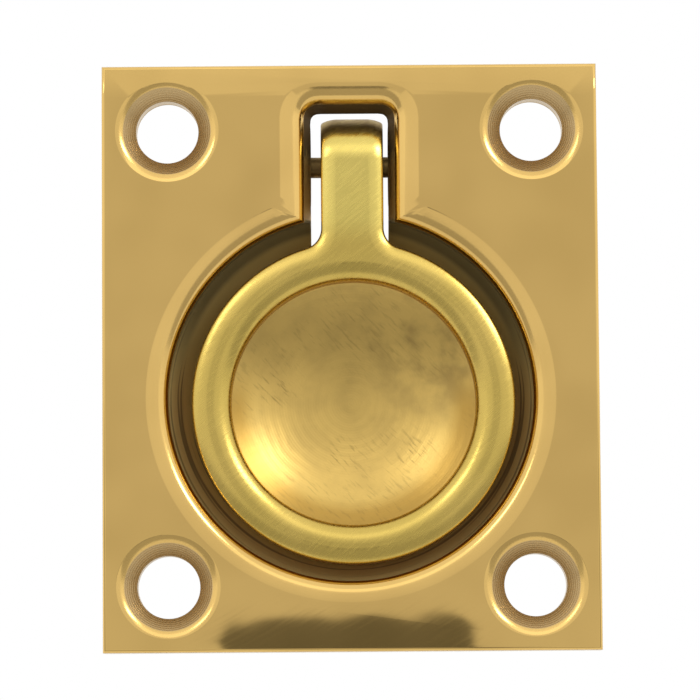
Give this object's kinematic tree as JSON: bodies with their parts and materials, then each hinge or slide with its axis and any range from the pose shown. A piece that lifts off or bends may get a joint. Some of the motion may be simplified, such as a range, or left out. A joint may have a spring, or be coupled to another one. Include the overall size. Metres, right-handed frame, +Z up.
{
  "type": "flush ring pull handle",
  "caption": "Flush ring pull: rectangular brass plate with countersunk screw holes and a dished round recess, and a ring that swings out on a hinge pin to be pulled by a finger.",
  "frame": {"origin": "centre of the rectangle of screw holes, on the plane of the plate's back face", "axes": "+X to the right seen from the front, +Y from the front towards the back, out of the plate's back face, +Z up from the ring's foot towards the hinge"},
  "size_m": [0.038, 0.0102, 0.045],
  "materials": {
    "polished_brass": "hand polished cast brass, softly buffed edges, faint waviness, turned marks in the bowl",
    "satin_brass": "satin cast brass, yellow-green, with faint scratches",
    "pin_brass": "drawn brass rod, dull"
  },
  "bodies": {
    "plate": {"recessed_plate": "polished_brass", "hinge_pin": "pin_brass"},
    "ring": {"pull_ring": "satin_brass"}
  },
  "joints": [
    {"name": "ring_hinge", "type": "hinge", "parent": "plate", "child": "ring", "pos_m": [0, 0.0015, 0.0151], "axis": [-1, 0, 0], "range_deg": [0, 100]}
  ]
}
